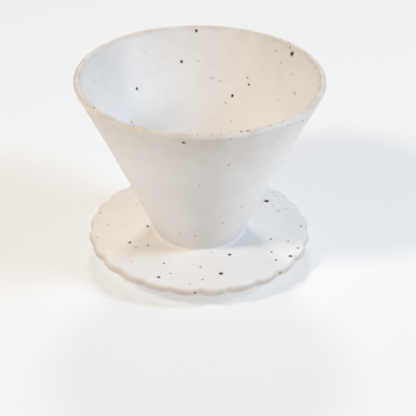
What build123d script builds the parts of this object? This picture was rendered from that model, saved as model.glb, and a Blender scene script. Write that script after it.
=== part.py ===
from build123d import *

import os
from math import asin, atan, atan2, cos, pi, sin, tan

# Pour over dripper in stoneware: a thrown cone luted to a scalloped drip plate, with a locating ring
# beneath that drops into a mug's mouth.
#
# Units are millimetres. +Z is up, along the cone's axis, and the origin is the centre of the locating
# ring's foot. Each sub-part is a clay piece as the potter makes it, before the pieces are joined with
# slip and fired. The cone and the ring are let into shallow grooves in the plate, with their buried
# edges bevelled to hold slip, and a coil is blended into each corner that a finger can reach.

# ---------------------------------------------------------------------------------------------------
# Driving dimensions
# ---------------------------------------------------------------------------------------------------

# Locating ring
ring_radius = 32.0  # outside
ring_wall = 5.0
ring_height = 8.0  # from its foot up to the plate's underside, which rests on the mug's rim
ring_foot_round = 1.3

# Drip plate: its middle is also the floor of the cone
plate_radius = 57.6  # to the crests of the scallops
plate_thickness = 5.0
plate_edge_band = 0.6  # upright band between the rounds of its top and bottom edges
scallop_count = 24
scallop_depth = 1.6  # from crest to notch
notch_round = 1.0  # softens each notch in plan

# Cone: a wall that thins towards a full round lip
lip_radius = 62.0  # outside
cone_height = 87.5  # from the floor to the top of the lip
cone_foot_radius = 22.6  # outside, where the wall meets the plate
wall_at_foot = 5.0  # measured along the floor
wall_at_lip = 3.4
flare = 0.66  # how far the middle of the wall is dished from a straight line

# Joints
groove_depth = 0.6  # also the bevel of the edges buried in each groove
cone_coil_radius = 1.3  # corner outside the cone
floor_coil_radius = 5.0  # corner inside the cone
ring_coil_radius = 2.5  # corner inside the ring

# Drain holes
drain_count = 3
drain_radius = 3.5
drain_land = 1.3  # flat floor between each hole and the coil inside the cone
drain_edge_round = 0.8

# ---------------------------------------------------------------------------------------------------
# Places that follow from them
# ---------------------------------------------------------------------------------------------------

seat_z = ring_height
floor_z = seat_z + plate_thickness
lip_z = floor_z + cone_height
plate_edge_round = (plate_thickness - plate_edge_band) / 2

# The wall's outside is an arc from its foot to the lip, whose ends turn from the chord by a small angle.
foot_outside = Vector(cone_foot_radius, floor_z)
foot_inside = Vector(cone_foot_radius - wall_at_foot, floor_z)
lip_round = wall_at_lip / 2
lip_centre = Vector(lip_radius - lip_round, lip_z - lip_round)
to_lip = lip_centre - foot_outside
chord_lean = atan2(to_lip.X, to_lip.Y) + asin(lip_round / to_lip.length)
lip_lean = chord_lean + 2 * atan(2 * flare / to_lip.length)
across_lip = Vector(cos(lip_lean), -sin(lip_lean)) * lip_round
lip_outside = lip_centre + across_lip
lip_inside = lip_centre - across_lip


def fillet_reach(radius, corner_angle):
    """Distance from a corner to where a fillet of this radius touches either of its sides."""
    return radius / tan(corner_angle / 2)


def plan_point(radius, turn):
    """Point in plan, at a turn that is counted in scallops."""
    angle = 2 * pi * turn / scallop_count
    return (radius * cos(angle), radius * sin(angle))


# ---------------------------------------------------------------------------------------------------
# Cone wall
# ---------------------------------------------------------------------------------------------------

with BuildPart() as cone_wall:
    with BuildSketch(Plane.XZ):
        with BuildLine():
            outside = SagittaArc(foot_outside, lip_outside, flare)
            lip = TangentArc(lip_outside, lip_inside, tangent=outside % 1)
            inside = TangentArc(lip_inside, foot_inside, tangent=lip % 1)
            buried_inside = foot_inside + Vector(groove_depth, -groove_depth)
            buried_outside = foot_outside - Vector(groove_depth, groove_depth)
            Polyline(foot_inside, buried_inside, buried_outside, foot_outside)
        make_face()
    revolve(axis=Axis.Z)

cone_wall.part.label = "cone_wall"

# Directions up the two sides of the wall at its foot, and how far each coil reaches from there
up_outside = outside % 0
up_inside = -(inside % 1)
cone_coil_reach = fillet_reach(cone_coil_radius, atan2(up_outside.Y, up_outside.X))
floor_coil_reach = fillet_reach(floor_coil_radius, pi - atan2(up_inside.Y, up_inside.X))

# ---------------------------------------------------------------------------------------------------
# Drip plate
# ---------------------------------------------------------------------------------------------------

drain_circle_radius = foot_inside.X - floor_coil_reach - drain_land - drain_radius

with BuildPart() as drip_plate:
    # Slab, cut to lobes and rounded over
    with BuildSketch(Plane.XY.offset(seat_z)) as outline:
        with BuildLine():
            for i in range(scallop_count):
                ThreePointArc(
                    plan_point(plate_radius - scallop_depth, i),
                    plan_point(plate_radius, i + 0.5),
                    plan_point(plate_radius - scallop_depth, i + 1),
                )
        make_face()
        fillet(outline.vertices(), notch_round)
    extrude(amount=plate_thickness)
    fillet(drip_plate.faces().filter_by(Axis.Z).edges(), plate_edge_round)

    # Groove in the top for the cone's foot
    with BuildSketch(Plane.XY.offset(floor_z)):
        Circle(cone_foot_radius)
        Circle(cone_foot_radius - wall_at_foot, mode=Mode.SUBTRACT)
    extrude(amount=-groove_depth, mode=Mode.SUBTRACT)

    # Groove in the underside for the ring
    with BuildSketch(Plane.XY.offset(seat_z)):
        Circle(ring_radius)
        Circle(ring_radius - ring_wall, mode=Mode.SUBTRACT)
    extrude(amount=groove_depth, mode=Mode.SUBTRACT)

    # Drain holes, with softened edges
    with BuildSketch(Plane.XY.offset(seat_z)):
        with PolarLocations(drain_circle_radius, drain_count, start_angle=90):
            Circle(drain_radius)
    extrude(amount=plate_thickness, mode=Mode.SUBTRACT)
    bores = drip_plate.faces(Select.LAST).filter_by(GeomType.CYLINDER)
    fillet(bores.edges().filter_by(GeomType.CIRCLE), drain_edge_round)

drip_plate.part.label = "drip_plate"

# ---------------------------------------------------------------------------------------------------
# Locating ring
# ---------------------------------------------------------------------------------------------------

with BuildPart() as locating_ring:
    with BuildSketch(Plane.XZ) as section:
        with Locations((ring_radius, 0)):
            Rectangle(ring_wall, ring_height + groove_depth, align=(Align.MAX, Align.MIN))
        fillet(section.vertices().group_by(Axis.Y)[0], ring_foot_round)
        chamfer(section.vertices().group_by(Axis.Y)[-1], groove_depth)
    revolve(axis=Axis.Z)

locating_ring.part.label = "locating_ring"

# ---------------------------------------------------------------------------------------------------
# Blended coils: fillet sections, trimmed by the wall that they lie against
# ---------------------------------------------------------------------------------------------------

middle_of_foot = (foot_inside + foot_outside) / 2

with BuildPart() as cone_seam_coil:
    with BuildSketch(Plane.XZ):
        with BuildLine():
            toe = foot_outside + Vector(cone_coil_reach, 0)
            top = foot_outside + up_outside * cone_coil_reach
            TangentArc(toe, top, tangent=(-1, 0))
            Polyline(top, middle_of_foot, toe)
        make_face()
    revolve(axis=Axis.Z)
    add(cone_wall.part, mode=Mode.SUBTRACT)

cone_seam_coil.part.label = "cone_seam_coil"

with BuildPart() as floor_seam_coil:
    with BuildSketch(Plane.XZ):
        with BuildLine():
            toe = foot_inside - Vector(floor_coil_reach, 0)
            top = foot_inside + up_inside * floor_coil_reach
            TangentArc(toe, top, tangent=(1, 0))
            Polyline(top, middle_of_foot, toe)
        make_face()
    revolve(axis=Axis.Z)
    add(cone_wall.part, mode=Mode.SUBTRACT)

floor_seam_coil.part.label = "floor_seam_coil"

with BuildPart() as ring_seam_coil:
    with BuildSketch(Plane.XZ):
        with BuildLine():
            corner = Vector(ring_radius - ring_wall, seat_z)
            toe = corner - Vector(ring_coil_radius, 0)
            bottom = corner - Vector(0, ring_coil_radius)
            TangentArc(toe, bottom, tangent=(1, 0))
            Polyline(bottom, corner, toe)
        make_face()
    revolve(axis=Axis.Z)

ring_seam_coil.part.label = "ring_seam_coil"

# ---------------------------------------------------------------------------------------------------
# Export, one STEP file for each piece
# ---------------------------------------------------------------------------------------------------

os.makedirs("parts", exist_ok=True)
export_step(cone_wall.part, "parts/cone_wall.step")
export_step(drip_plate.part, "parts/drip_plate.step")
export_step(locating_ring.part, "parts/locating_ring.step")
export_step(cone_seam_coil.part, "parts/cone_seam_coil.step")
export_step(floor_seam_coil.part, "parts/floor_seam_coil.step")
export_step(ring_seam_coil.part, "parts/ring_seam_coil.step")
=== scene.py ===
# %% [markdown]
# # A stoneware pour over dripper
# The real object is six pieces of clay: a thrown cone, a plate with a scalloped edge, a ring under the
# plate that drops into a mug, and three coils that are blended into the corners with a finger. We keep
# the same six pieces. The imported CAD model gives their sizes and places, and we never move it. Each
# visible piece is built in metres in the same frame, so it needs no fitting.

# %% Load the frame
from functools import partial
from math import asin, atan, atan2, cos, degrees, hypot, pi, radians, sin, tan

import bpy
from mathutils import Matrix, Vector


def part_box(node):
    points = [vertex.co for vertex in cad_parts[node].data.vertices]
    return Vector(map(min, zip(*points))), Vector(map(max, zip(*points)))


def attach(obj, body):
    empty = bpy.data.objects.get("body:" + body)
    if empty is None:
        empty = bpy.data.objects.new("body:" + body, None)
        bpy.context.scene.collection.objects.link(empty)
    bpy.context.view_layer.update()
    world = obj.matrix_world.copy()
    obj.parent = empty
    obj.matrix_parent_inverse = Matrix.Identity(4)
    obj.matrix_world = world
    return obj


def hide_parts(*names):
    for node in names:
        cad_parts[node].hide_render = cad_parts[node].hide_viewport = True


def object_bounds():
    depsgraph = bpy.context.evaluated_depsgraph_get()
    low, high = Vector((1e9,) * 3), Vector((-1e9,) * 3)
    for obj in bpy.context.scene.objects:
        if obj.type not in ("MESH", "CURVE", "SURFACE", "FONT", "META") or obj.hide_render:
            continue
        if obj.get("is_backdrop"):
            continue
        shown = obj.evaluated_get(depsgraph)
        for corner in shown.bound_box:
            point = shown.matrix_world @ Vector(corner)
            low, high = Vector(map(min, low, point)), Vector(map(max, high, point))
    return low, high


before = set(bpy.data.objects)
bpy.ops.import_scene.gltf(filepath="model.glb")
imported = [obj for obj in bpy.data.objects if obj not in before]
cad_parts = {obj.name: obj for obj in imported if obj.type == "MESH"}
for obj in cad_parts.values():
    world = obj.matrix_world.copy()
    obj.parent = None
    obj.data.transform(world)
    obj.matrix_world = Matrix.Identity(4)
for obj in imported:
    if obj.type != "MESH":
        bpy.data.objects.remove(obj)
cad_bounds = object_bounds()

MM = 0.001
print("CAD pieces:", ", ".join(sorted(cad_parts)))

# %% [markdown]
# ## The sizes that every piece shares
# The boxes of the CAD pieces give the heights and the largest radii. The two radii of the cone's foot
# can't be seen in a box, so they are read from the points of its mesh that lie at the floor's height.

# %% Read the sizes
seat_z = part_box("drip_plate")[0].z
floor_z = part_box("drip_plate")[1].z
lip_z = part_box("cone_wall")[1].z
lip_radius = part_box("cone_wall")[1].x
ring_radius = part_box("locating_ring")[1].x
groove_bottom_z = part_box("cone_wall")[0].z
ring_top_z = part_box("locating_ring")[1].z


def radii_at(node, height):
    """Smallest and largest distance from the axis of a CAD piece's points at one height."""
    points = [v.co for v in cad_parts[node].data.vertices]
    found = [hypot(p.x, p.y) for p in points if abs(p.z - height) < 0.02 * MM]
    return min(found), max(found)


foot_inside_radius, foot_outside_radius = radii_at("cone_wall", floor_z)
ring_inside_radius = radii_at("locating_ring", seat_z)[0]
for label, size in (
    ("lip radius", lip_radius),
    ("lip height", lip_z),
    ("foot radius outside", foot_outside_radius),
    ("foot radius inside", foot_inside_radius),
    ("ring radius", ring_radius),
    ("ring radius inside", ring_inside_radius),
):
    print(f"{label}: {size / MM:.2f} mm")

# %% [markdown]
# ## Helpers for node trees
# Shapes and finishes are both made with nodes. Three small helpers keep the trees readable: one adds a
# node and wires it, one does arithmetic, and one makes a soft step from 0 to 1.


# %% Node helpers
def add_node(tree, kind, inputs=None, **options):
    """Add a node, set its options, and fill or wire its inputs, which are named or numbered."""
    node = tree.nodes.new(kind)
    for option, value in options.items():
        setattr(node, option, value)
    for socket, value in (inputs or {}).items():
        if isinstance(value, bpy.types.NodeSocket):
            tree.links.new(value, node.inputs[socket])
        else:
            node.inputs[socket].default_value = value
    return node


def calculate(tree, operation, *values):
    """One step of arithmetic on numbers."""
    node = add_node(tree, "ShaderNodeMath", dict(enumerate(values)), operation=operation)
    return node.outputs[0]


def combine(tree, operation, *values):
    """One step of arithmetic on places or directions."""
    node = add_node(tree, "ShaderNodeVectorMath", dict(enumerate(values)), operation=operation)
    return node.outputs["Value" if operation in ("LENGTH", "DOT_PRODUCT") else "Vector"]


def enlarge(tree, vector, factor):
    """A place or direction, made longer or shorter."""
    inputs = {"Vector": vector, "Scale": factor}
    return add_node(tree, "ShaderNodeVectorMath", inputs, operation="SCALE").outputs["Vector"]


def split(tree, place):
    """The three numbers of a place."""
    return add_node(tree, "ShaderNodeSeparateXYZ", {0: place}).outputs


def join(tree, *numbers):
    """A place from its numbers."""
    return add_node(tree, "ShaderNodeCombineXYZ", dict(enumerate(numbers))).outputs[0]


def soft_step(tree, value, start, end):
    """0 before start and 1 after end, with a soft change between; start may be the larger."""
    inputs = {0: value, 1: start, 2: end}
    return add_node(tree, "ShaderNodeMapRange", inputs, interpolation_type="SMOOTHSTEP").outputs[0]


def new_group(name, kind, inputs, outputs):
    """An empty node group. Each input is (name, kind of socket, starting value)."""
    group = bpy.data.node_groups.new(name, kind)
    for label, socket_kind, start in inputs:
        socket = group.interface.new_socket(label, in_out="INPUT", socket_type=socket_kind)
        if start is not None:
            socket.default_value = start
    for label, socket_kind in outputs:
        group.interface.new_socket(label, in_out="OUTPUT", socket_type=socket_kind)
    given = group.nodes.new("NodeGroupInput").outputs
    result = group.nodes.new("NodeGroupOutput").inputs
    return group, given, result


def new_shape_group(name, inputs):
    """A group for shapes, which gives geometry."""
    return new_group(name, "GeometryNodeTree", inputs, [("Geometry", GEOMETRY)])


def new_finish_group(name, inputs, outputs):
    """A group for finishes, which reads the place on the piece and gives masks or heights."""
    place_first = [("Place", VECTOR, None)] + inputs
    return new_group(name, "ShaderNodeTree", place_first, [(output, NUMBER) for output in outputs])


def point_place(tree):
    """Where each point of a shape is."""
    return add_node(tree, "GeometryNodeInputPosition").outputs[0]


def move_points(tree, geometry, **target):
    """Move a shape's points to a Position, or by an Offset."""
    return add_node(tree, "GeometryNodeSetPosition", {"Geometry": geometry, **target}).outputs[0]


def read_mark(tree, mark):
    """The value of a mark that rides along with the points."""
    kind = "GeometryNodeInputNamedAttribute"
    return add_node(tree, kind, {"Name": mark}, data_type="FLOAT").outputs["Attribute"]


GEOMETRY = "NodeSocketGeometry"
NUMBER = "NodeSocketFloat"
WHOLE = "NodeSocketInt"
VECTOR = "NodeSocketVector"
MATERIAL = "NodeSocketMaterial"
OBJECT = "NodeSocketObject"

# %% [markdown]
# ## Turning a section about the axis
# A potter's wheel turns every piece of this dripper, so one rule makes them all: a section, which is a
# row of points in the plane of the axis, is carried round in equal turns. The group makes a flat grid
# with one column for each turn and one row for each section point, then moves every grid point to its
# place. Columns that meet are merged, so there is no seam, and points on the axis become one pole.
# Two marks ride along with the points: "thin", where the glaze will run thin, and "edge", how far a
# point follows the scallops.

# %% Group: turn a section
turning, given, result = new_shape_group(
    "Turn about the axis",
    [("Section", GEOMETRY, None), ("Turns", WHOLE, 240), ("Closed", WHOLE, 1)],
)
maths = partial(calculate, turning)
size_node = add_node(turning, "GeometryNodeAttributeDomainSize", {0: given["Section"]})
point_count = size_node.outputs["Point Count"]
rows = maths("ADD", point_count, given["Closed"])
columns = maths("ADD", given["Turns"], 1)
grid = add_node(turning, "GeometryNodeMeshGrid", {"Vertices X": columns, "Vertices Y": rows})
index = add_node(turning, "GeometryNodeInputIndex").outputs[0]
row = maths("MODULO", maths("MODULO", index, rows), point_count)
column = maths("FLOOR", maths("DIVIDE", index, rows))
angle = maths("MULTIPLY", maths("DIVIDE", column, given["Turns"]), 2 * pi)


def read_section(kind, value):
    """Read something from the section point that belongs to each grid point."""
    inputs = {0: given["Section"], 1: value, 2: row}
    return add_node(turning, "GeometryNodeSampleIndex", inputs, data_type=kind).outputs[0]


position = point_place(turning)
out, _, up = split(turning, read_section("FLOAT_VECTOR", position))
across = maths("MULTIPLY", out, maths("COSINE", angle))
back = maths("MULTIPLY", out, maths("SINE", angle))
marks = {}
for mark in ("thin", "edge"):
    marks[mark] = read_section("FLOAT", read_mark(turning, mark))
turned = move_points(turning, grid.outputs["Mesh"], Position=join(turning, across, back, up))
for mark, value in marks.items():
    inputs = {"Geometry": turned, "Name": mark, "Value": value}
    turned = add_node(turning, "GeometryNodeStoreNamedAttribute", inputs).outputs[0]
merged = add_node(turning, "GeometryNodeMergeByDistance", {"Geometry": turned, "Distance": 1e-6})
turning.links.new(merged.outputs[0], result["Geometry"])
print("built:", turning.name, len(turning.nodes), "nodes")

# %% [markdown]
# ## Throwing ridges
# Fingers leave a faint screw thread on a thrown wall, because the pot turns while the hands rise. A
# sine of height plus turn follows the same helix. Noise bends the ridges and makes them come and go,
# and they fade out before the foot and the lip, which a potter smooths.

# %% Group: throwing ridges
ridging, given, result = new_shape_group(
    "Throwing ridges",
    [
        ("Geometry", GEOMETRY, None),
        ("Height", NUMBER, 0.1 * MM),
        ("Pitch", NUMBER, 6 * MM),
        ("Low", NUMBER, 0.0),
        ("High", NUMBER, 0.1),
        ("Fade", NUMBER, 12 * MM),
    ],
)
maths = partial(calculate, ridging)
position = point_place(ridging)
x, y, z = split(ridging, position)
helix_turn = maths("DIVIDE", maths("ARCTAN2", y, x), 2 * pi)
helix = maths("ADD", maths("DIVIDE", z, given["Pitch"]), helix_turn)
bend = add_node(ridging, "ShaderNodeTexNoise", {"Vector": position, "Scale": 22.0}).outputs["Fac"]
phase = maths("ADD", helix, maths("MULTIPLY", bend, 2.0))
wave = maths("SINE", maths("MULTIPLY", phase, 2 * pi))
strength = add_node(ridging, "ShaderNodeTexNoise", {"Vector": position, "Scale": 13.0}).outputs["Fac"]
above_foot = soft_step(ridging, z, given["Low"], maths("ADD", given["Low"], given["Fade"]))
below_lip = soft_step(ridging, z, given["High"], maths("SUBTRACT", given["High"], given["Fade"]))
height = maths("MULTIPLY", maths("MULTIPLY", wave, strength), given["Height"])
height = maths("MULTIPLY", height, maths("MULTIPLY", above_foot, below_lip))
normal = add_node(ridging, "GeometryNodeInputNormal").outputs[0]
ridged = move_points(ridging, given["Geometry"], Offset=enlarge(ridging, normal, height))
ridging.links.new(ridged, result["Geometry"])
print("built:", ridging.name, len(ridging.nodes), "nodes")

# %% [markdown]
# ## Uneven by hand
# Clay sags and is nudged by hands, so nothing is perfectly round. One slow noise pushes every piece.
# It depends only on the place in space, so two pieces that touch are pushed by the same amount and
# stay together. It is nothing at the height of the table, so the dripper still stands flat.

# %% Group: uneven by hand
nudging, given, result = new_shape_group(
    "Uneven by hand",
    [("Geometry", GEOMETRY, None), ("Amount", NUMBER, 0.5 * MM), ("Settled", NUMBER, 14 * MM)],
)
position = point_place(nudging)
swell = add_node(nudging, "ShaderNodeTexNoise", {"Vector": position, "Scale": 17.0, "Detail": 1.0})
push = combine(nudging, "SUBTRACT", swell.outputs["Color"], (0.5, 0.5, 0.5))
z = split(nudging, position)[2]
free = soft_step(nudging, z, 0.0, given["Settled"])
push = enlarge(nudging, push, calculate(nudging, "MULTIPLY", free, given["Amount"]))
nudged = move_points(nudging, given["Geometry"], Offset=push)
nudging.links.new(nudged, result["Geometry"])
print("built:", nudging.name, len(nudging.nodes), "nodes")

# %% [markdown]
# ## The tree for a thrown piece
# The cone, the ring and the coils all use one tree: turn the section, add ridges, nudge it, and give
# it its glaze. The tree ends by realizing instances and setting the material, so that what comes out
# is a plain mesh.


# %% Tree: thrown piece
def finish_tree(tree, geometry, material, result):
    """Smooth shading, plain mesh, material: the end of every shape tree."""
    smooth = add_node(tree, "GeometryNodeSetShadeSmooth", {"Geometry": geometry}).outputs[0]
    plain = add_node(tree, "GeometryNodeRealizeInstances", {0: smooth}).outputs[0]
    finished = add_node(tree, "GeometryNodeSetMaterial", {"Geometry": plain, "Material": material})
    tree.links.new(finished.outputs[0], result["Geometry"])


def add_group(tree, group, inputs):
    """Place a shape group in a shape tree and give its geometry."""
    return add_node(tree, "GeometryNodeGroup", inputs, node_tree=group).outputs["Geometry"]


def part_of(group, inputs, names):
    """The inputs of a tree that are handed on to a group, by name."""
    return {name: inputs[name] for name in names}


thrown_piece, given, result = new_shape_group(
    "Thrown piece",
    [
        ("Section", GEOMETRY, None),
        ("Turns", WHOLE, 240),
        ("Closed", WHOLE, 1),
        ("Height", NUMBER, 0.0),
        ("Pitch", NUMBER, 6 * MM),
        ("Low", NUMBER, 0.0),
        ("High", NUMBER, 0.1),
        ("Amount", NUMBER, 0.5 * MM),
        ("Material", MATERIAL, None),
    ],
)
shape = add_group(thrown_piece, turning, part_of(turning, given, ("Section", "Turns", "Closed")))
shape = add_group(
    thrown_piece,
    ridging,
    {"Geometry": shape, **part_of(ridging, given, ("Height", "Pitch", "Low", "High"))},
)
shape = add_group(thrown_piece, nudging, {"Geometry": shape, "Amount": given["Amount"]})
finish_tree(thrown_piece, shape, given["Material"], result)
print("built:", thrown_piece.name)

# %% [markdown]
# ## From a section to a finished piece
# The section becomes a mesh of loose points, the tree runs on it as a modifier, and the evaluated
# result is copied to a plain mesh. The modifier is then removed, because a finished piece should hold
# its own shape.

# %% Build a piece from its section
HAND_AMOUNT = 0.9 * MM
SHARP_ANGLE = radians(34)


def set_inputs(modifier, values):
    """Set a modifier's inputs, which are known by identifier and not by name."""
    for item in modifier.node_group.interface.items_tree:
        if item.item_type == "SOCKET" and item.in_out == "INPUT" and item.name in values:
            modifier[item.identifier] = values[item.name]


def new_section(name, points, thin=None, edge=None):
    """Loose points in the plane of the axis, each (radius, height), with their two marks."""
    mesh = bpy.data.meshes.new(name)
    mesh.from_pydata([(radius, 0.0, height) for radius, height in points], [], [])
    for mark, values in (("thin", thin), ("edge", edge)):
        mesh.attributes.new(mark, "FLOAT", "POINT")
        mesh.attributes[mark].data.foreach_set("value", values or [0.0] * len(points))
    section = bpy.data.objects.new(name, mesh)
    bpy.context.scene.collection.objects.link(section)
    return section


def build_piece(section, tree, values):
    """Run the tree on a section and keep the result as a plain mesh."""
    modifier = section.modifiers.new(tree.name, "NODES")
    modifier.node_group = tree
    set_inputs(modifier, values)
    depsgraph = bpy.context.evaluated_depsgraph_get()
    mesh = bpy.data.meshes.new_from_object(section.evaluated_get(depsgraph), depsgraph=depsgraph)
    section.modifiers.clear()
    section.data = mesh
    mesh.name = section.name
    mesh.set_sharp_from_angle(angle=SHARP_ANGLE)
    faces = len(mesh.polygons)
    triangles = sum(len(p.vertices) - 2 for p in mesh.polygons)
    print(f"{section.name}: {len(mesh.vertices)} points, {faces} faces, {triangles} triangles")
    return section


# %% [markdown]
# ## Rounds in a section
# Every curve of these sections is an arc that leaves one point in a known direction and ends at
# another. The chord from the start to any point of the arc turns at half the rate of the arc itself,
# which gives each point by one short formula.


# %% Arc helpers
def leaning(angle):
    """Direction that leans outwards from straight up by an angle."""
    return Vector((sin(angle), cos(angle)))


def turn_left(direction, angle):
    """A direction, turned left."""
    return Vector(
        (
            direction.x * cos(angle) - direction.y * sin(angle),
            direction.x * sin(angle) + direction.y * cos(angle),
        )
    )


def arc(start, direction, end, steps):
    """Points of the arc from start to end, without start, and the direction at its end."""
    chord = end - start
    half_turn = atan2(direction.cross(chord), direction.dot(chord))
    points = []
    for step in range(1, steps + 1):
        swing = half_turn * step / steps
        reach = chord.length * sin(swing) / sin(half_turn)
        points.append(start + turn_left(direction, swing) * reach)
    return points, turn_left(direction, 2 * half_turn)


def along(start, end, steps):
    """Evenly spaced points of a straight line, without its start."""
    return [start + (end - start) * step / steps for step in range(1, steps + 1)]


# %% [markdown]
# # Finishes
# ## Iron specks
# The clay is speckled stoneware. Grains of iron in it melt in the kiln and bleed up through the white
# glaze as brown and black dots. A Voronoi texture has one point in every cell, so a ball round that
# point makes one speck where the surface cuts it, and small balls are cut more rarely, as real grains
# are. The cell's random colour decides which cells have a grain, and how big it is.

# %% Group: iron specks
specks, given, result = new_finish_group(
    "Iron specks",
    [
        ("Spacing", NUMBER, 3 * MM),
        ("Smallest", NUMBER, 0.1 * MM),
        ("Largest", NUMBER, 0.3 * MM),
        ("Share", NUMBER, 0.5),
    ],
    ["Mask"],
)
maths = partial(calculate, specks)
cells = add_node(
    specks,
    "ShaderNodeTexVoronoi",
    {"Vector": given["Place"], "Scale": maths("DIVIDE", 1.0, given["Spacing"])},
)
from_grain = maths("MULTIPLY", cells.outputs["Distance"], given["Spacing"])
red, green, blue = add_node(specks, "ShaderNodeSeparateColor", {0: cells.outputs["Color"]}).outputs
spread = maths("SUBTRACT", given["Largest"], given["Smallest"])
often_small = maths("POWER", red, 2.5)
grain = maths("MULTIPLY_ADD", often_small, spread, given["Smallest"])
core = maths("MULTIPLY", grain, 0.55)
inside_grain = soft_step(specks, from_grain, maths("MULTIPLY", grain, 1.15), core)
present = maths("LESS_THAN", green, given["Share"])
specks.links.new(maths("MULTIPLY", inside_grain, present), result["Mask"])
print("built:", specks.name, len(specks.nodes), "nodes")

# %% [markdown]
# ## Bold iron spots
# The boldest spots are few, and where they sit gives each pot its face, so they are placed one by one.
# A spot is a ball too. Distance straight through the clay counts for only a part, so that a spot stays
# on the surface even where the hand has nudged it, and doesn't come out on the other face.

# %% Group: one iron spot
THROUGH_SHARE = 0.8

spot_group, given, result = new_finish_group(
    "Iron spot",
    [
        ("Spot", VECTOR, None),
        ("Through", VECTOR, None),
        ("Size", NUMBER, 0.4 * MM),
        ("Strength", NUMBER, 1.0),
    ],
    ["Core", "Halo"],
)
maths = partial(calculate, spot_group)
away = combine(spot_group, "SUBTRACT", given["Place"], given["Spot"])
depth = combine(spot_group, "DOT_PRODUCT", away, given["Through"])
depth_part = maths("MULTIPLY", depth, THROUGH_SHARE)
away = combine(spot_group, "SUBTRACT", away, enlarge(spot_group, given["Through"], depth_part))
distance = combine(spot_group, "LENGTH", away)
for output, outer, inner in (("Core", 1.2, 0.8), ("Halo", 2.0, 1.0)):
    far = maths("MULTIPLY", given["Size"], outer)
    near = maths("MULTIPLY", given["Size"], inner)
    covered = soft_step(spot_group, distance, far, near)
    spot_group.links.new(maths("MULTIPLY", covered, given["Strength"]), result[output])
print("built:", spot_group.name, len(spot_group.nodes), "nodes")

# %% [markdown]
# ## Cloudiness and fired skin
# Glaze is poured, so it is a little thicker in some places than in others, and its colour drifts over
# a few centimetres. Its skin is also not a mirror: it dimples like orange peel and keeps pinholes
# where gas came out. Both effects are groups, because the glaze and the bare clay use them with
# different values.

# %% Groups: cloudiness and fired skin
clouds, given, result = new_finish_group(
    "Cloudiness",
    [("Across", NUMBER, 30 * MM), ("Least", NUMBER, 0.35), ("Most", NUMBER, 0.65)],
    ["Cloud"],
)
cloud = add_node(
    clouds,
    "ShaderNodeTexNoise",
    {
        "Vector": given["Place"],
        "Scale": calculate(clouds, "DIVIDE", 1.0, given["Across"]),
        "Detail": 4.0,
        "Roughness": 0.55,
    },
)
clouds.links.new(soft_step(clouds, cloud.outputs["Fac"], given["Least"], given["Most"]), result["Cloud"])

skin, given, result = new_finish_group(
    "Fired skin",
    [("Dimple", NUMBER, 1.6 * MM), ("Pinhole spacing", NUMBER, 5 * MM), ("Pinhole", NUMBER, 0.2 * MM)],
    ["Height"],
)
dimples = add_node(
    skin,
    "ShaderNodeTexNoise",
    {
        "Vector": given["Place"],
        "Scale": calculate(skin, "DIVIDE", 1.0, given["Dimple"]),
        "Detail": 3.0,
        "Roughness": 0.5,
    },
).outputs["Fac"]
pinholes = add_node(
    skin,
    "ShaderNodeGroup",
    {
        "Place": combine(skin, "ADD", given["Place"], (0.37, 0.11, 0.73)),
        "Spacing": given["Pinhole spacing"],
        "Smallest": calculate(skin, "MULTIPLY", given["Pinhole"], 0.5),
        "Largest": given["Pinhole"],
        "Share": 0.45,
    },
    node_tree=specks,
).outputs["Mask"]
skin.links.new(calculate(skin, "SUBTRACT", dimples, pinholes), result["Height"])
print("built:", clouds.name, "and", skin.name)

# %% [markdown]
# ## The white glaze
# The glaze is a satin white. Its layers of colour are: two close whites that drift into each other, a
# tan where it runs thin over an edge, faint fine specks, brown middling specks, and the bold spots
# with a soft brown halo. The specks are matt and the glaze is satin, so they change the roughness
# too. The Principled BSDF stays outside the groups.

# %% Glaze colours and helper
GLAZE_WHITE = (0.84, 0.82, 0.795, 1.0)
GLAZE_CLOUD = (0.81, 0.785, 0.755, 1.0)
GLAZE_THIN = (0.58, 0.48, 0.39, 1.0)
FINE_SPECK = (0.40, 0.31, 0.23, 1.0)
BROWN_SPECK = (0.17, 0.105, 0.06, 1.0)
SPOT_HALO = (0.36, 0.25, 0.165, 1.0)
SPOT_CORE = (0.045, 0.024, 0.014, 1.0)
GLAZE_ROUGHNESS = 0.54
GLAZE_COAT = 0.08
GLAZE_BUMP = 0.03 * MM
COAT_ROUGHNESS = 0.22
GLASS_IOR = 1.5


def mix_colour(tree, amount, below, above):
    """Lay one colour over another by a mask."""
    inputs = {0: amount, 6: below, 7: above}
    return add_node(tree, "ShaderNodeMix", inputs, data_type="RGBA").outputs[2]


def finish_group(tree, group, inputs, output):
    """Place a finish group in a material and give one of its outputs."""
    return add_node(tree, "ShaderNodeGroup", inputs, node_tree=group).outputs[output]


def speckle(tree, place, spacing, smallest, largest, share):
    """A mask of iron grains, with its sizes in millimetres."""
    sizes = {"Spacing": spacing * MM, "Smallest": smallest * MM, "Largest": largest * MM}
    return finish_group(tree, specks, {"Place": place, "Share": share, **sizes}, "Mask")


def ragged_place(tree, place, amount):
    """The place on the piece, shaken a little, so that round marks get ragged edges."""
    shake = add_node(tree, "ShaderNodeTexNoise", {"Vector": place, "Scale": 1400.0, "Detail": 2.0})
    shift = combine(tree, "SUBTRACT", shake.outputs["Color"], (0.5, 0.5, 0.5))
    return combine(tree, "ADD", place, enlarge(tree, shift, amount))


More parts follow.
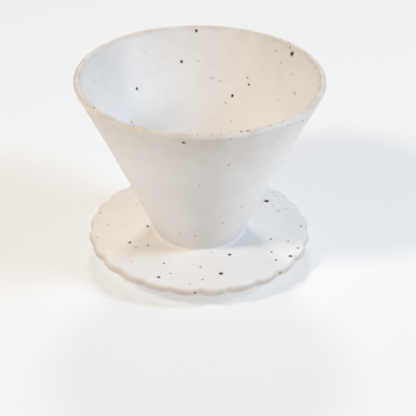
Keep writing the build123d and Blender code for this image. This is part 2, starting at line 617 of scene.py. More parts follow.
def surface(material, colour, roughness, height, bump_depth, coat, glow=0.0):
    """The Principled BSDF of a finish, with its bump and, for paper on a light table, its glow."""
    tree = material.node_tree
    bump = add_node(tree, "ShaderNodeBump", {"Height": height, "Distance": bump_depth, "Strength": 1.0})
    shader = add_node(
        tree,
        "ShaderNodeBsdfPrincipled",
        {
            "Base Color": colour,
            "Roughness": roughness,
            "Normal": bump.outputs[0],
            "Coat Weight": coat,
            "Coat Roughness": COAT_ROUGHNESS,
            "IOR": GLASS_IOR,
            "Emission Strength": glow,
        },
    )
    output = add_node(tree, "ShaderNodeOutputMaterial", {"Surface": shader.outputs[0]})
    output.is_active_output = True


def new_finish(name):
    """A material with an empty tree, and the place on the piece that its textures read."""
    material = bpy.data.materials.new(name)
    material.use_nodes = True
    material.node_tree.nodes.clear()
    place = add_node(material.node_tree, "ShaderNodeTexCoord").outputs["Object"]
    return material, material.node_tree, place


# %% Function: the glaze
def make_glaze(name, spots):
    """White speckled glaze. Each spot is (place, direction through the clay, size, strength)."""
    material, tree, place = new_finish(name)
    ragged = ragged_place(tree, place, 0.35 * MM)
    cloud = finish_group(tree, clouds, {"Place": place}, "Cloud")
    patches = {"Place": place, "Across": 7 * MM, "Least": 0.3, "Most": 0.75}
    drift = finish_group(tree, clouds, patches, "Cloud")
    colour = mix_colour(tree, cloud, GLAZE_WHITE, GLAZE_CLOUD)

    thin = add_node(tree, "ShaderNodeAttribute", attribute_name="thin").outputs["Fac"]
    breaking = calculate(tree, "MULTIPLY", thin, calculate(tree, "MULTIPLY_ADD", drift, 0.35, 0.4))
    colour = mix_colour(tree, breaking, colour, GLAZE_THIN)

    fine = speckle(tree, ragged, 1.7, 0.1, 0.22, share=0.5)
    through_thin = calculate(tree, "MULTIPLY_ADD", thin, 0.4, 0.45)
    colour = mix_colour(tree, calculate(tree, "MULTIPLY", fine, through_thin), colour, FINE_SPECK)
    middling = speckle(tree, ragged, 4.6, 0.18, 0.4, share=0.22)
    colour = mix_colour(tree, calculate(tree, "MULTIPLY", middling, 0.75), colour, BROWN_SPECK)

    halos = 0.0
    cores = 0.0
    for centre, through, size, strength in spots:
        inputs = {"Place": ragged, "Spot": centre, "Through": through, "Size": size, "Strength": strength}
        spot = add_node(tree, "ShaderNodeGroup", inputs, node_tree=spot_group)
        halos = calculate(tree, "MAXIMUM", spot.outputs["Halo"], halos)
        cores = calculate(tree, "MAXIMUM", spot.outputs["Core"], cores)
    colour = mix_colour(tree, calculate(tree, "MULTIPLY", halos, 0.5), colour, SPOT_HALO)
    colour = mix_colour(tree, cores, colour, SPOT_CORE)

    matt = calculate(tree, "MAXIMUM", cores, middling)
    roughness = calculate(tree, "MULTIPLY_ADD", drift, 0.1, GLAZE_ROUGHNESS)
    roughness = calculate(tree, "MULTIPLY_ADD", matt, 0.2, roughness)
    height = finish_group(tree, skin, {"Place": place}, "Height")
    height = calculate(tree, "MULTIPLY_ADD", matt, 0.5, height)
    surface(material, colour, roughness, height, GLAZE_BUMP, GLAZE_COAT)
    print(f"{name}: {len(tree.nodes)} nodes, {len(spots)} bold spots")
    return material


# %% [markdown]
# ## Bare clay
# The ring stands on the kiln shelf, so it is wiped clean of glaze. Fired stoneware is a sandy buff, dry
# to the touch, with the same iron grains and a few coarse sand grains that make it rough.

# %% Material: bare clay
CLAY_BUFF = (0.60, 0.50, 0.40, 1.0)
CLAY_DARK = (0.45, 0.35, 0.26, 1.0)
SAND_GRAIN = (0.78, 0.70, 0.60, 1.0)
CLAY_ROUGHNESS = 0.86
CLAY_BUMP = 0.09 * MM
GLAZE_LINE_BAND = 1.6 * MM

bare_clay, tree, place = new_finish("bare_clay")
ragged = ragged_place(tree, place, 0.4 * MM)
cloud = finish_group(tree, clouds, {"Place": place, "Across": 12 * MM}, "Cloud")
colour = mix_colour(tree, cloud, CLAY_BUFF, CLAY_DARK)
grog = speckle(tree, ragged, 1.2, 0.15, 0.35, share=0.6)
colour = mix_colour(tree, calculate(tree, "MULTIPLY", grog, 0.35), colour, SAND_GRAIN)
iron = speckle(tree, ragged, 3.2, 0.15, 0.4, share=0.6)
colour = mix_colour(tree, calculate(tree, "MULTIPLY", iron, 0.8), colour, BROWN_SPECK)
height_on_ring = split(tree, place)[2]
line_wander = finish_group(tree, clouds, {"Place": place, "Across": 9 * MM}, "Cloud")
line_z = calculate(tree, "MULTIPLY_ADD", line_wander, -GLAZE_LINE_BAND, seat_z)
glazed = soft_step(tree, height_on_ring, calculate(tree, "SUBTRACT", line_z, 0.5 * MM), line_z)
colour = mix_colour(tree, glazed, colour, GLAZE_CLOUD)
roughness = calculate(tree, "MULTIPLY_ADD", glazed, -0.4, CLAY_ROUGHNESS)
grit = finish_group(tree, skin, {"Place": place, "Dimple": 0.5 * MM, "Pinhole spacing": 3 * MM}, "Height")
height = calculate(tree, "ADD", calculate(tree, "MULTIPLY_ADD", grog, 0.8, grit), glazed)
surface(bare_clay, colour, roughness, height, CLAY_BUMP, 0.0)
print("bare_clay:", len(tree.nodes), "nodes")

# %% [markdown]
# # The cone
# The wall is thrown as an open cylinder and pulled out to a cone. It thins from 5 mm at the foot to
# 3.4 mm at a full round lip, and dishes a little, so it opens faster near the top. Its section goes up
# the outside, over the lip, down the inside and round the bevelled foot, which is let into a groove.

# %% Section of the cone
WALL_AT_LIP = 3.4 * MM
WALL_DISH = 0.66 * MM
WALL_STEPS = 56
GLAZE_RUN = 32 * MM
THIN_OUTSIDE = 0.62
THIN_INSIDE = 0.34
LIP_STEPS = 18

lip_round = WALL_AT_LIP / 2
foot_outside = Vector((foot_outside_radius, floor_z))
foot_inside = Vector((foot_inside_radius, floor_z))
lip_centre = Vector((lip_radius - lip_round, lip_z - lip_round))
to_lip = lip_centre - foot_outside
chord_lean = atan2(to_lip.x, to_lip.y) + asin(lip_round / to_lip.length)
lip_lean = chord_lean + 2 * atan(2 * WALL_DISH / to_lip.length)
across_lip = Vector((cos(lip_lean), -sin(lip_lean))) * lip_round
lip_outside = lip_centre + across_lip
lip_inside = lip_centre - across_lip

wall_chord = lip_outside - foot_outside
foot_lean = 2 * atan2(wall_chord.x, wall_chord.y) - lip_lean
outside_points, _ = arc(foot_outside, leaning(foot_lean), lip_outside, WALL_STEPS)
lip_points, _ = arc(lip_outside, leaning(lip_lean), lip_inside, LIP_STEPS)
inside_points, down_inside = arc(lip_inside, -leaning(lip_lean), foot_inside, WALL_STEPS)
groove_depth = floor_z - groove_bottom_z
bevel = Vector((groove_depth, groove_depth))
foot_points = [foot_inside + Vector((groove_depth, -groove_depth)), foot_outside - bevel]
cone_section = [foot_outside] + outside_points + lip_points + inside_points + foot_points
print(f"wall leans {degrees(foot_lean):.1f} degrees at its foot, {degrees(lip_lean):.1f} at its lip")


def thinness(point, share_on_wall):
    """How thin the glaze has run: 1 on the crest of the lip, less on the wall under it."""
    rise = (point.y - lip_centre.y) / lip_round
    on_crest = max(0.0, min(1.0, 0.3 + 0.9 * rise))
    down_wall = max(0.0, min(1.0, 1.0 + (point.y - lip_centre.y) / GLAZE_RUN))
    return max(on_crest, share_on_wall * down_wall)


outside_count = 1 + WALL_STEPS + LIP_STEPS // 2
cone_thin = [thinness(point, THIN_OUTSIDE) for point in cone_section[:outside_count]]
cone_thin += [thinness(point, THIN_INSIDE) for point in cone_section[outside_count:]]

# %% [markdown]
# ## Iron spots on the cone
# Each spot is written as a maker would say it: how far round from the right-hand side, in degrees,
# how high above the floor of the cone and its radius, in millimetres, and how dark it is, from 0 to 1.
# The section then gives its distance from the axis. On the plate, the second number is the distance
# from the axis.

# %% Spots on the cone
SPOTS_INSIDE = [
    (101, 71, 0.62, 1), (134, 63, 0.6, 1), (57, 63, 0.5, 1), (59, 66, 0.4, 0.7),
    (67, 56, 0.65, 1), (71, 52, 0.4, 0.4), (35, 84, 1, 1), (38, 86, 0.4, 0.7),
    (46, 82, 0.4, 0.4), (29, 76, 0.45, 0.4), (40, 78, 0.4, 0.4), (352, 85, 0.5, 0.7),
    (345, 84.5, 0.55, 0.7), (82, 63, 0.4, 0.4), (91, 71, 0.35, 0.4), (92, 85.2, 0.65, 1),
    (174, 85, 0.4, 0.4), (166, 78, 0.4, 0.4), (30, 62, 0.4, 0.4), (20, 70, 0.35, 0.4),
    (64, 44, 0.35, 0.4), (230, 58, 0.6, 1), (258, 40, 0.5, 0.7), (285, 66, 0.65, 1),
    (310, 45, 0.45, 0.7), (200, 74, 0.45, 0.7),
]
SPOTS_OUTSIDE = [
    (263, 83, 0.75, 0.75), (323, 82, 0.55, 0.7), (306, 30, 0.45, 0.7), (266, 12, 0.45, 0.4),
    (283, 85, 0.4, 0.4), (270, 52, 0.4, 0.4), (292, 20, 0.4, 0.4), (311, 85, 0.4, 0.4),
    (332, 66, 0.4, 0.4), (18, 70, 0.75, 1), (48, 35, 0.6, 0.7), (77, 62, 0.65, 1),
    (104, 22, 0.5, 0.7), (122, 78, 0.5, 0.7), (149, 50, 0.75, 1), (172, 68, 0.45, 0.4),
]
SPOTS_ON_LIP = [
    (215, 0.5, 0.7), (164, 0.45, 0.4), (288, 0.55, 0.7), (291, 0.55, 0.7), (302, 0.4, 0.4),
    (275, 0.4, 0.4), (240, 0.35, 0.4), (40, 0.4, 0.4), (269, 0.35, 0.6), (279, 0.35, 0.6),
    (283, 0.3, 0.6), (309, 0.35, 0.6),
]

UPWARDS = Vector((0.0, 0.0, 1.0))


def radius_at(points, height):
    """Distance from the axis of a row of section points at a height."""
    return min(points, key=lambda point: abs(point.y - height)).x


def outwards(turn):
    """Level direction, this many degrees round from the right-hand side."""
    return Vector((cos(radians(turn)), sin(radians(turn)), 0.0))


def wall_spots(spots, points):
    """Places and directions for spots on one face of the wall, whose second number is a height."""
    placed = []
    for turn, height, size, strength in spots:
        z = floor_z + height * MM
        centre = outwards(turn) * radius_at(points, z) + UPWARDS * z
        placed.append((centre, outwards(turn), size * MM, strength))
    return placed


def ring_of_spots(spots, z, through=None):
    """The same for spots at one height, whose second number is a distance from the axis."""
    placed = []
    for turn, radius, size, strength in spots:
        centre = outwards(turn) * radius * MM + UPWARDS * z
        placed.append((centre, through or outwards(turn), size * MM, strength))
    return placed


lip_places = [(turn, lip_centre.x / MM, *look) for turn, *look in SPOTS_ON_LIP]
lip_spots = ring_of_spots(lip_places, lip_z, UPWARDS)
cone_spots = wall_spots(SPOTS_INSIDE, inside_points) + wall_spots(SPOTS_OUTSIDE, outside_points)
glaze_on_cone = make_glaze("glaze_on_cone", cone_spots + lip_spots)

# %% Build the cone
cone = build_piece(
    new_section("cone", cone_section, thin=cone_thin),
    thrown_piece,
    {
        "Turns": 360,
        "Height": 0.09 * MM,
        "Pitch": 7 * MM,
        "Low": floor_z + 4 * MM,
        "High": lip_z - 2 * MM,
        "Amount": HAND_AMOUNT,
        "Material": glaze_on_cone,
    },
)

# %% [markdown]
# # The drip plate
# The plate is a turned slab whose edge is pressed into 24 lobes. Each lobe is an arc of a circle, so
# the outline is known at every angle: the lobe's own circle, or its neighbour's if that reaches
# further. A soft maximum rounds the notch between them, and a random number for each lobe makes some
# a little fuller, as fingers do. Only points marked "edge" follow the scallops.

# %% Sizes of the scallops
SCALLOPS = 24
SCALLOP_DEPTH = 1.6 * MM
NOTCH_SOFTNESS = 0.9 * MM
plate_points = [v.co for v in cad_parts["drip_plate"].data.vertices]
crest_radius = max(hypot(p.x, p.y) for p in plate_points)
half_lobe = pi / SCALLOPS
notch_radius = crest_radius - SCALLOP_DEPTH
notch = Vector((notch_radius * cos(half_lobe), notch_radius * sin(half_lobe)))
rise = crest_radius - notch.x
lobe_radius = (notch.y**2 + rise**2) / (2 * rise)
lobe_centre = crest_radius - lobe_radius
print(f"crests at {crest_radius / MM:.2f} mm, lobes of {lobe_radius / MM:.2f} mm")

# %% Group: scalloped edge
scalloping, given, result = new_shape_group(
    "Scalloped edge",
    [
        ("Geometry", GEOMETRY, None),
        ("Lobes", WHOLE, SCALLOPS),
        ("Crest", NUMBER, crest_radius),
        ("Lobe centre", NUMBER, lobe_centre),
        ("Lobe radius", NUMBER, lobe_radius),
        ("Softness", NUMBER, NOTCH_SOFTNESS),
        ("Uneven", NUMBER, 0.3 * MM),
        ("Seed", WHOLE, 4),
    ],
)
maths = partial(calculate, scalloping)
position = point_place(scalloping)
x, y, z = split(scalloping, position)
turn = maths("DIVIDE", maths("ARCTAN2", y, x), 2 * pi)
turn = maths("ADD", turn, 1.0)
lobes_round = maths("MULTIPLY", turn, given["Lobes"])
from_middle = calculate(scalloping, "ABSOLUTE", maths("SUBTRACT", maths("FRACT", lobes_round), 0.5))
pitch_angle = maths("DIVIDE", 2 * pi, given["Lobes"])


def lobe_reach(share):
    """How far out a lobe's circle reaches, at a share of a pitch from the lobe's middle."""
    swing = maths("MULTIPLY", share, pitch_angle)
    along_ray = maths("MULTIPLY", given["Lobe centre"], maths("COSINE", swing))
    aside = maths("MULTIPLY", given["Lobe centre"], maths("SINE", swing))
    left = calculate(
        scalloping,
        "SUBTRACT",
        maths("MULTIPLY", given["Lobe radius"], given["Lobe radius"]),
        maths("MULTIPLY", aside, aside),
    )
    return maths("ADD", along_ray, maths("SQRT", left))


own = lobe_reach(from_middle)
neighbour = lobe_reach(maths("SUBTRACT", 1.0, from_middle))
outline = maths("SMOOTH_MAX", own, neighbour, given["Softness"])
lobe = maths("MODULO", maths("FLOOR", lobes_round), given["Lobes"])
fullness = add_node(
    scalloping,
    "FunctionNodeRandomValue",
    {2: -1.0, 3: 1.0, "ID": lobe, "Seed": given["Seed"]},
    data_type="FLOAT",
).outputs[1]
middle_share = maths("COSINE", maths("MULTIPLY", from_middle, pi))
fullness = maths("MULTIPLY", maths("MULTIPLY", fullness, middle_share), given["Uneven"])
outline = maths("ADD", outline, fullness)
inwards = maths("SUBTRACT", outline, given["Crest"])
shift = maths("MULTIPLY", inwards, read_mark(scalloping, "edge"))
radius = combine(scalloping, "LENGTH", join(scalloping, x, y))
factor = maths("ADD", 1.0, maths("DIVIDE", shift, radius))
scalloped_point = join(scalloping, maths("MULTIPLY", x, factor), maths("MULTIPLY", y, factor), z)
scalloped = move_points(scalloping, given["Geometry"], Position=scalloped_point)
scalloping.links.new(scalloped, result["Geometry"])
print("built:", scalloping.name, len(scalloping.nodes), "nodes")

# %% [markdown]
# ## Drain holes
# Coffee leaves through three holes inside the cone, bored while the clay is leather hard and softened
# with a wet finger. The cutter is the shape of the hole itself, with flared ends, turned from a
# section by the same group as the pots. One copy stands at each place, and a boolean takes them away
# from the plate. The glaze runs thin on the softened edges, so they are marked "thin" too.

# %% Group: drain holes
draining, given, result = new_shape_group(
    "Drain holes",
    [
        ("Geometry", GEOMETRY, None),
        ("Cutter section", OBJECT, None),
        ("Holes", WHOLE, 3),
        ("Circle radius", NUMBER, 9 * MM),
        ("Mouth radius", NUMBER, 4 * MM),
        ("Mouth round", NUMBER, 0.8 * MM),
    ],
)
maths = partial(calculate, draining)
cutter_section = add_node(draining, "GeometryNodeObjectInfo", {"Object": given["Cutter section"]})
cutter = add_group(
    draining, turning, {"Section": cutter_section.outputs["Geometry"], "Turns": 64, "Closed": 0}
)
circle = add_node(
    draining, "GeometryNodeMeshCircle", {"Vertices": given["Holes"], "Radius": given["Circle radius"]}
)
to_back = add_node(
    draining, "GeometryNodeTransform", {"Geometry": circle.outputs[0], "Rotation": (0.0, 0.0, pi / 2)}
).outputs[0]
cutters = add_node(
    draining, "GeometryNodeInstanceOnPoints", {"Points": to_back, "Instance": cutter}
).outputs[0]
cutters = add_node(draining, "GeometryNodeRealizeInstances", {0: cutters}).outputs[0]
bored = add_node(
    draining,
    "GeometryNodeMeshBoolean",
    {0: given["Geometry"], 1: cutters},
    operation="DIFFERENCE",
    solver="MANIFOLD",
).outputs[0]
position = point_place(draining)
in_plan = combine(draining, "MULTIPLY", position, (1.0, 1.0, 0.0))
to_hole = add_node(
    draining,
    "GeometryNodeProximity",
    {"Geometry": to_back, "Sample Position": in_plan},
    target_element="POINTS",
).outputs["Distance"]
from_mouth = maths("ABSOLUTE", maths("SUBTRACT", to_hole, given["Mouth radius"]))
softened = soft_step(draining, from_mouth, given["Mouth round"], 0.0)
thin = maths("MAXIMUM", softened, read_mark(draining, "thin"))
inputs = {"Geometry": bored, "Name": "thin", "Value": thin}
marked = add_node(draining, "GeometryNodeStoreNamedAttribute", inputs)
draining.links.new(marked.outputs[0], result["Geometry"])
print("built:", draining.name, len(draining.nodes), "nodes")

# %% Tree: drip plate
plate_tree, given, result = new_shape_group(
    "Drip plate",
    [
        ("Section", GEOMETRY, None),
        ("Turns", WHOLE, 720),
        ("Lobes", WHOLE, SCALLOPS),
        ("Uneven", NUMBER, 0.3 * MM),
        ("Seed", WHOLE, 4),
        ("Cutter section", OBJECT, None),
        ("Holes", WHOLE, 3),
        ("Circle radius", NUMBER, 9 * MM),
        ("Mouth radius", NUMBER, 4 * MM),
        ("Mouth round", NUMBER, 0.8 * MM),
        ("Amount", NUMBER, 0.5 * MM),
        ("Material", MATERIAL, None),
    ],
)
shape = add_group(plate_tree, turning, {"Section": given["Section"], "Turns": given["Turns"], "Closed": 0})
shape = add_group(
    plate_tree, scalloping, {"Geometry": shape, **part_of(scalloping, given, ("Lobes", "Uneven", "Seed"))}
)
drain_inputs = part_of(
    draining, given, ("Cutter section", "Holes", "Circle radius", "Mouth radius", "Mouth round")
)
shape = add_group(plate_tree, draining, {"Geometry": shape, **drain_inputs})
shape = add_group(plate_tree, nudging, {"Geometry": shape, "Amount": given["Amount"]})
finish_tree(plate_tree, shape, given["Material"], result)
print("built:", plate_tree.name)

# %% [markdown]
# ## The plate's section
# It starts on the axis underneath, passes the groove for the ring, rolls round the edge, and comes
# back over the top past the groove for the cone's foot. The edge has two full rounds and a narrow
# upright band between them.

# %% Section of the plate
EDGE_BAND = 0.6 * MM
EDGE_STEPS = 9
edge_round = (floor_z - seat_z - EDGE_BAND) / 2
flat_radius = crest_radius - edge_round
ring_groove_z = ring_top_z
plate_under = [Vector((r * MM, seat_z)) for r in (0, 2.5, 5, 7.5, 10, 12.5, 16, 20, 24)]
plate_under += [
    Vector((ring_inside_radius, seat_z)),
    Vector((ring_inside_radius, ring_groove_z)),
    Vector((ring_radius, ring_groove_z)),
    Vector((ring_radius, seat_z)),
]
plate_under += along(Vector((ring_radius, seat_z)), Vector((flat_radius, seat_z)), 10)
band_low = Vector((crest_radius, seat_z + edge_round))
band_high = Vector((crest_radius, floor_z - edge_round))
top_edge = Vector((flat_radius, floor_z))
lower_round, _ = arc(plate_under[-1], Vector((1.0, 0.0)), band_low, EDGE_STEPS)
upper_round, _ = arc(band_high, Vector((0.0, 1.0)), top_edge, EDGE_STEPS)
plate_top = along(top_edge, Vector((foot_outside_radius, floor_z)), 16)
plate_top += [
    Vector((foot_outside_radius, groove_bottom_z)),
    Vector((foot_inside_radius, groove_bottom_z)),
    Vector((foot_inside_radius, floor_z)),
]
plate_top += [Vector((r * MM, floor_z)) for r in (15, 12.5, 10, 7.5, 5, 2.5, 0)]
plate_section = plate_under + lower_round + [band_high] + upper_round + plate_top


def edge_share(point):
    """0 well inside the plate, 1 from the start of the edge's rounds outwards."""
    share = (point.x - 0.86 * flat_radius) / (0.12 * flat_radius)
    share = min(1.0, max(0.0, share))
    return share * share * (3 - 2 * share)


def edge_thin(point):
    """Glaze thins over the edge: most on the band, none on the flats."""
    return min(1.0, max(0.0, (point.x - flat_radius) / edge_round)) ** 2


print(f"plate section: {len(plate_section)} points, edge round {edge_round / MM:.2f} mm")

# %% Iron spots on the plate
SPOTS_ON_PLATE = [
    (35, 44.5, 1.1, 1), (180.5, 27, 0.62, 1), (204, 39, 0.65, 1), (215, 32, 0.55, 0.7),
    (179, 47.5, 0.4, 0.4), (167, 54, 0.45, 0.4), (243, 39, 0.55, 0.7), (247, 51, 0.7, 1),
    (252, 46, 0.42, 0.7), (271, 38, 0.5, 0.7), (284, 45, 0.95, 1), (272, 49, 0.45, 0.7),
    (265, 53, 0.4, 0.4), (300, 31, 0.75, 1), (284, 25.6, 0.4, 0.4), (21.5, 50, 0.45, 0.4),
    (28, 45, 0.4, 0.4), (0.5, 53.5, 0.55, 0.7), (342, 39, 0.5, 0.85), (343, 48, 0.45, 0.7),
    (338, 54.5, 0.6, 0.85), (329, 54, 0.75, 1), (327, 44, 0.52, 0.85), (321, 50, 0.58, 0.85),
    (192, 54, 0.42, 0.4), (225, 48, 0.45, 0.4), (148, 40, 0.4, 0.4), (41, 53, 0.4, 0.4),
    (37, 52, 0.4, 0.4), (75, 47, 0.8, 1), (98, 38, 0.5, 0.7), (118, 50, 0.65, 1),
]
SPOTS_ON_EDGE = [
    (268, 57.3, 0.55, 0.7), (316, 57.3, 0.5, 0.7), (200, 57.2, 0.45, 0.4), (60, 57.3, 0.5, 0.7),
    (128, 57.2, 0.6, 1),
]
SPOTS_UNDERNEATH = [
    (20, 45, 0.9, 1), (96, 41, 0.6, 0.7), (150, 50, 0.6, 1), (212, 38, 0.8, 1),
    (265, 46, 0.5, 0.7), (330, 18, 0.6, 0.7),
]

middle_of_edge = (seat_z + floor_z) / 2
plate_spots = ring_of_spots(SPOTS_ON_PLATE, floor_z, UPWARDS)
plate_spots += ring_of_spots(SPOTS_ON_EDGE, middle_of_edge)
plate_spots += ring_of_spots(SPOTS_UNDERNEATH, seat_z, UPWARDS)
glaze_on_plate = make_glaze("glaze_on_plate", plate_spots)

# %% Section of the drain cutter
HOLE_RADIUS = 3.5 * MM
HOLE_ROUND = 0.8 * MM
HOLE_CIRCLE = 9.58 * MM
PAST_FACE = 1.0 * MM
TOUCH = 0.01 * MM

mouth = HOLE_RADIUS + HOLE_ROUND
top_mouth = Vector((mouth, floor_z + TOUCH))
low_mouth = Vector((mouth, seat_z - TOUCH))
low_flare, _ = arc(low_mouth, Vector((-1.0, 0.0)), Vector((HOLE_RADIUS, seat_z + HOLE_ROUND)), 6)
top_flare, _ = arc(Vector((HOLE_RADIUS, floor_z - HOLE_ROUND)), Vector((0.0, 1.0)), top_mouth, 6)
cutter_points = [Vector((0.0, seat_z - PAST_FACE)), Vector((mouth, seat_z - PAST_FACE)), low_mouth]
cutter_points += low_flare + [Vector((HOLE_RADIUS, floor_z - HOLE_ROUND))] + top_flare
cutter_points += [Vector((mouth, floor_z + PAST_FACE)), Vector((0.0, floor_z + PAST_FACE))]
cutter_piece = new_section("drain_cutter", cutter_points)

# %% Build the plate
plate = build_piece(
    new_section(
        "plate",
        plate_section,
        thin=[edge_thin(point) for point in plate_section],
        edge=[edge_share(point) for point in plate_section],
    ),
    plate_tree,
    {
        "Turns": 720,
        "Lobes": SCALLOPS,
        "Uneven": 0.35 * MM,
        "Seed": 4,
        "Cutter section": cutter_piece,
        "Holes": 3,
        "Circle radius": HOLE_CIRCLE,
        "Mouth radius": HOLE_RADIUS + HOLE_ROUND / 2,
        "Mouth round": HOLE_ROUND,
        "Amount": HAND_AMOUNT,
        "Material": glaze_on_plate,
    },
)
bpy.data.objects.remove(cutter_piece)

# %% [markdown]
# # The locating ring
# The ring is a plain hoop with a rounded foot. It is bare clay, wiped clean of glaze below the plate,
# and its top is let into the plate's lower groove with bevelled edges.

# %% Section and build of the ring
RING_FOOT_ROUND = 1.3 * MM
ring_bevel = ring_top_z - seat_z
outer_start = Vector((ring_radius - RING_FOOT_ROUND, 0.0))
inner_end = Vector((ring_inside_radius + RING_FOOT_ROUND, 0.0))
outer_round, _ = arc(outer_start, Vector((1.0, 0.0)), Vector((ring_radius, RING_FOOT_ROUND)), 8)
ring_section = [outer_start] + outer_round
ring_section += along(outer_round[-1], Vector((ring_radius, seat_z)), 8)
ring_section += [
    Vector((ring_radius - ring_bevel, ring_top_z)),
    Vector((ring_inside_radius + ring_bevel, ring_top_z)),
    Vector((ring_inside_radius, seat_z)),
]
ring_section += along(ring_section[-1], Vector((ring_inside_radius, RING_FOOT_ROUND)), 8)
inner_round, _ = arc(ring_section[-1], Vector((0.0, -1.0)), inner_end, 8)
ring_section += inner_round
ring = build_piece(
    new_section("ring", ring_section),
    thrown_piece,
    {"Turns": 300, "Height": 0.0, "Amount": HAND_AMOUNT, "Material": bare_clay},
)

# %% [markdown]
# # The blended coils
# A thin roll of soft clay is pressed into each corner and drawn smooth with a finger, so the section
# of each is a corner with a hollow round across it. How far it reaches along each side follows from
# the finger's radius and the corner's angle.


# %% Sections and build of the coils
def reach_of(finger, corner_angle):
    """How far from the corner a finger's round touches its sides."""
    return finger / tan(corner_angle / 2)


FINGER_OUTSIDE = 1.3 * MM
FINGER_INSIDE = 5.0 * MM
FINGER_UNDER = 2.5 * MM

up_outside = leaning(foot_lean)
outside_reach = reach_of(FINGER_OUTSIDE, atan2(up_outside.y, up_outside.x))
toe = foot_outside + Vector((outside_reach, 0.0))
top = foot_outside + up_outside * outside_reach
hollow, _ = arc(toe, Vector((-1.0, 0.0)), top, 14)
cone_coil_section = [toe] + hollow + along(top, foot_outside, 3) + along(foot_outside, toe, 3)[:-1]

up_inside = -down_inside
inside_reach = reach_of(FINGER_INSIDE, pi - atan2(up_inside.y, up_inside.x))
toe = foot_inside - Vector((inside_reach, 0.0))
top = foot_inside + up_inside * inside_reach
hollow, _ = arc(top, down_inside, toe, 14)
floor_coil_section = [foot_inside] + along(foot_inside, top, 3) + hollow + along(toe, foot_inside, 3)[:-1]

corner = Vector((ring_inside_radius, seat_z))
toe = corner - Vector((FINGER_UNDER, 0.0))
bottom = corner - Vector((0.0, FINGER_UNDER))
hollow, _ = arc(toe, Vector((1.0, 0.0)), bottom, 14)
ring_coil_section = [corner, toe] + hollow

coils = {}
for name, section, finish in (
    ("cone_coil", cone_coil_section, glaze_on_cone),
    ("floor_coil", floor_coil_section, glaze_on_cone),
    ("ring_coil", ring_coil_section, glaze_on_plate),
):
    values = {"Turns": 360, "Height": 0.0, "Amount": HAND_AMOUNT, "Material": finish}
    coils[name] = build_piece(new_section(name, section), thrown_piece, values)

# %% [markdown]
# # Fit to the frame
# Each piece stands for one CAD piece and rides on the one body, and the table beside it names a slot
# for its finish. Then we measure how far each CAD piece's points lie from the piece that stands for it.
# Only the maker's hand should show: a few tenths of a millimetre.

# %% Ride, replace and measure
PIECES = [
    (cone, "cone_wall", "speckled_glaze"),
    (plate, "drip_plate", "speckled_glaze"),
    (ring, "locating_ring", "bare_clay"),
    (coils["cone_coil"], "cone_seam_coil", "speckled_glaze"),
    (coils["floor_coil"], "floor_seam_coil", "speckled_glaze"),
    (coils["ring_coil"], "ring_seam_coil", "speckled_glaze"),
]
bpy.context.view_layer.update()
for piece, node, slot in PIECES:
    away = []
    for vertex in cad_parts[node].data.vertices:
        found, nearest, _, _ = piece.closest_point_on_mesh(vertex.co)
        away.append((nearest - vertex.co).length)
    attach(piece, "root")
    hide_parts(node)
    average = sum(away) / len(away)
    print(f"{piece.name}: {average / MM:.2f} mm from {node} on average, {max(away) / MM:.2f} at most")

# %% [markdown]
# # The studio
# The table is a wide sheet of pale paper that glows a little, as on a light table, so that shadows on
# it stay light and the plate's outline can be read against it. The room is dim and nearly white. A
# warm soft light stands at the front left and two cool ones to the right, so that each side of the
# cone has its own tint, and a weaker one stands behind. The view transform is the plain one, so that
# a white glaze stays white.

# %% Floor
FLOOR_HALF = 4.0
PAPER_WHITE = (0.48, 0.48, 0.478, 1.0)
PAPER_CLOUD = (0.47, 0.47, 0.467, 1.0)
PAPER_GLOW = 0.41

floor_mesh = bpy.data.meshes.new("studio_floor")
corners = [(x * FLOOR_HALF, y * FLOOR_HALF, 0.0) for x, y in ((-1, -1), (1, -1), (1, 1), (-1, 1))]
floor_mesh.from_pydata(corners, [], [(0, 1, 2, 3)])
studio_floor = bpy.data.objects.new("studio_floor", floor_mesh)
bpy.context.scene.collection.objects.link(studio_floor)
paper, tree, place = new_finish("pale_paper")
cloud = finish_group(tree, clouds, {"Place": place, "Across": 0.4}, "Cloud")
colour = mix_colour(tree, cloud, PAPER_WHITE, PAPER_CLOUD)
surface(paper, colour, 0.9, cloud, 0.01 * MM, 0.0, glow=PAPER_GLOW)
floor_mesh.materials.append(paper)
studio_floor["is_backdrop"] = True

# %% World and lights
ROOM_COLOUR = (1.0, 0.88, 0.78, 1.0)
ROOM_STRENGTH = 0.31
LIGHT_DISTANCE = 1.2
LIGHT_AIM = 0.05
LIGHT_SIZE = 0.2

world = bpy.data.worlds.new("studio_room")
bpy.context.scene.world = world
world.use_nodes = True
room = world.node_tree.nodes["Background"]
room.inputs["Color"].default_value = ROOM_COLOUR
room.inputs["Strength"].default_value = ROOM_STRENGTH


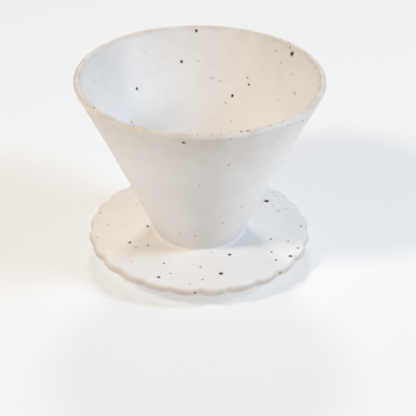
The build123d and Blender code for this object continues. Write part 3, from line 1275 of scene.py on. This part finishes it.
def soft_light(name, turn, height, colour, power):
    """A square soft light at an angle round from the right and above, aimed at the dripper."""
    data = bpy.data.lights.new(name, "AREA")
    data.size = LIGHT_SIZE
    data.color = colour
    data.energy = power
    light = bpy.data.objects.new(name, data)
    away = outwards(turn) * cos(radians(height)) + UPWARDS * sin(radians(height))
    light.location = UPWARDS * LIGHT_AIM + away * LIGHT_DISTANCE
    light.rotation_euler = away.to_track_quat("Z", "Y").to_euler()
    bpy.context.scene.collection.objects.link(light)


LIGHTS = [
    ("warm_front_left", 215, 45, (1.0, 0.90, 0.765), 7.0),
    ("cool_right_low", 347, 25, (0.755, 0.885, 1.0), 3.3),
    ("cool_right", 347, 40, (0.50, 0.715, 1.0), 5.6),
    ("back", 90, 45, (1.0, 0.995, 0.95), 3.4),
]
for name, turn, height, colour, power in LIGHTS:
    soft_light(name, turn, height, colour, power)
bpy.context.scene.view_settings.view_transform = "Standard"
print("lights:", ", ".join(light[0] for light in LIGHTS))

# %% [markdown]
# # The camera
# We look down on the dripper at about 32 degrees from just over half a metre, with a long lens that
# keeps the cone's shape calm. The camera is level to within a degree, as a hand-held one is.

# %% Camera
LENS = 113.07
SENSOR = 36.0
CAMERA_PLACE = Vector((-1.215, -577.86, 382.15)) * MM
LOOKS_LEFT = -0.571
LOOKS_DOWN = 31.778
TILTS_SIDEWAYS = 0.596

camera_data = bpy.data.cameras.new("camera")
camera_data.lens = LENS
camera_data.sensor_width = SENSOR
camera = bpy.data.objects.new("camera", camera_data)
camera.location = CAMERA_PLACE
view_turn = Matrix.Rotation(radians(LOOKS_LEFT), 4, "Z")
view_tilt = Matrix.Rotation(radians(90 - LOOKS_DOWN), 4, "X")
view_roll = Matrix.Rotation(radians(TILTS_SIDEWAYS), 4, "Z")
camera.rotation_euler = (view_turn @ view_tilt @ view_roll).to_euler()
bpy.context.scene.collection.objects.link(camera)
bpy.context.scene.camera = camera

# %% [markdown]
# # The sizes of both models
# The boxes round the CAD model and round the visible model are gathered side by side, and the size
# of each is printed. The visible model has to stay inside the CAD model's box, apart from the
# small unevenness of the hand.

# %% Sizes
visual_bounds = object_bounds()
sizes = {
    "cad": [list(corner) for corner in cad_bounds],
    "visual": [list(corner) for corner in visual_bounds],
}
for label, (low, high) in sizes.items():
    print(label, [round((b - a) / MM, 2) for a, b in zip(low, high)], "mm")
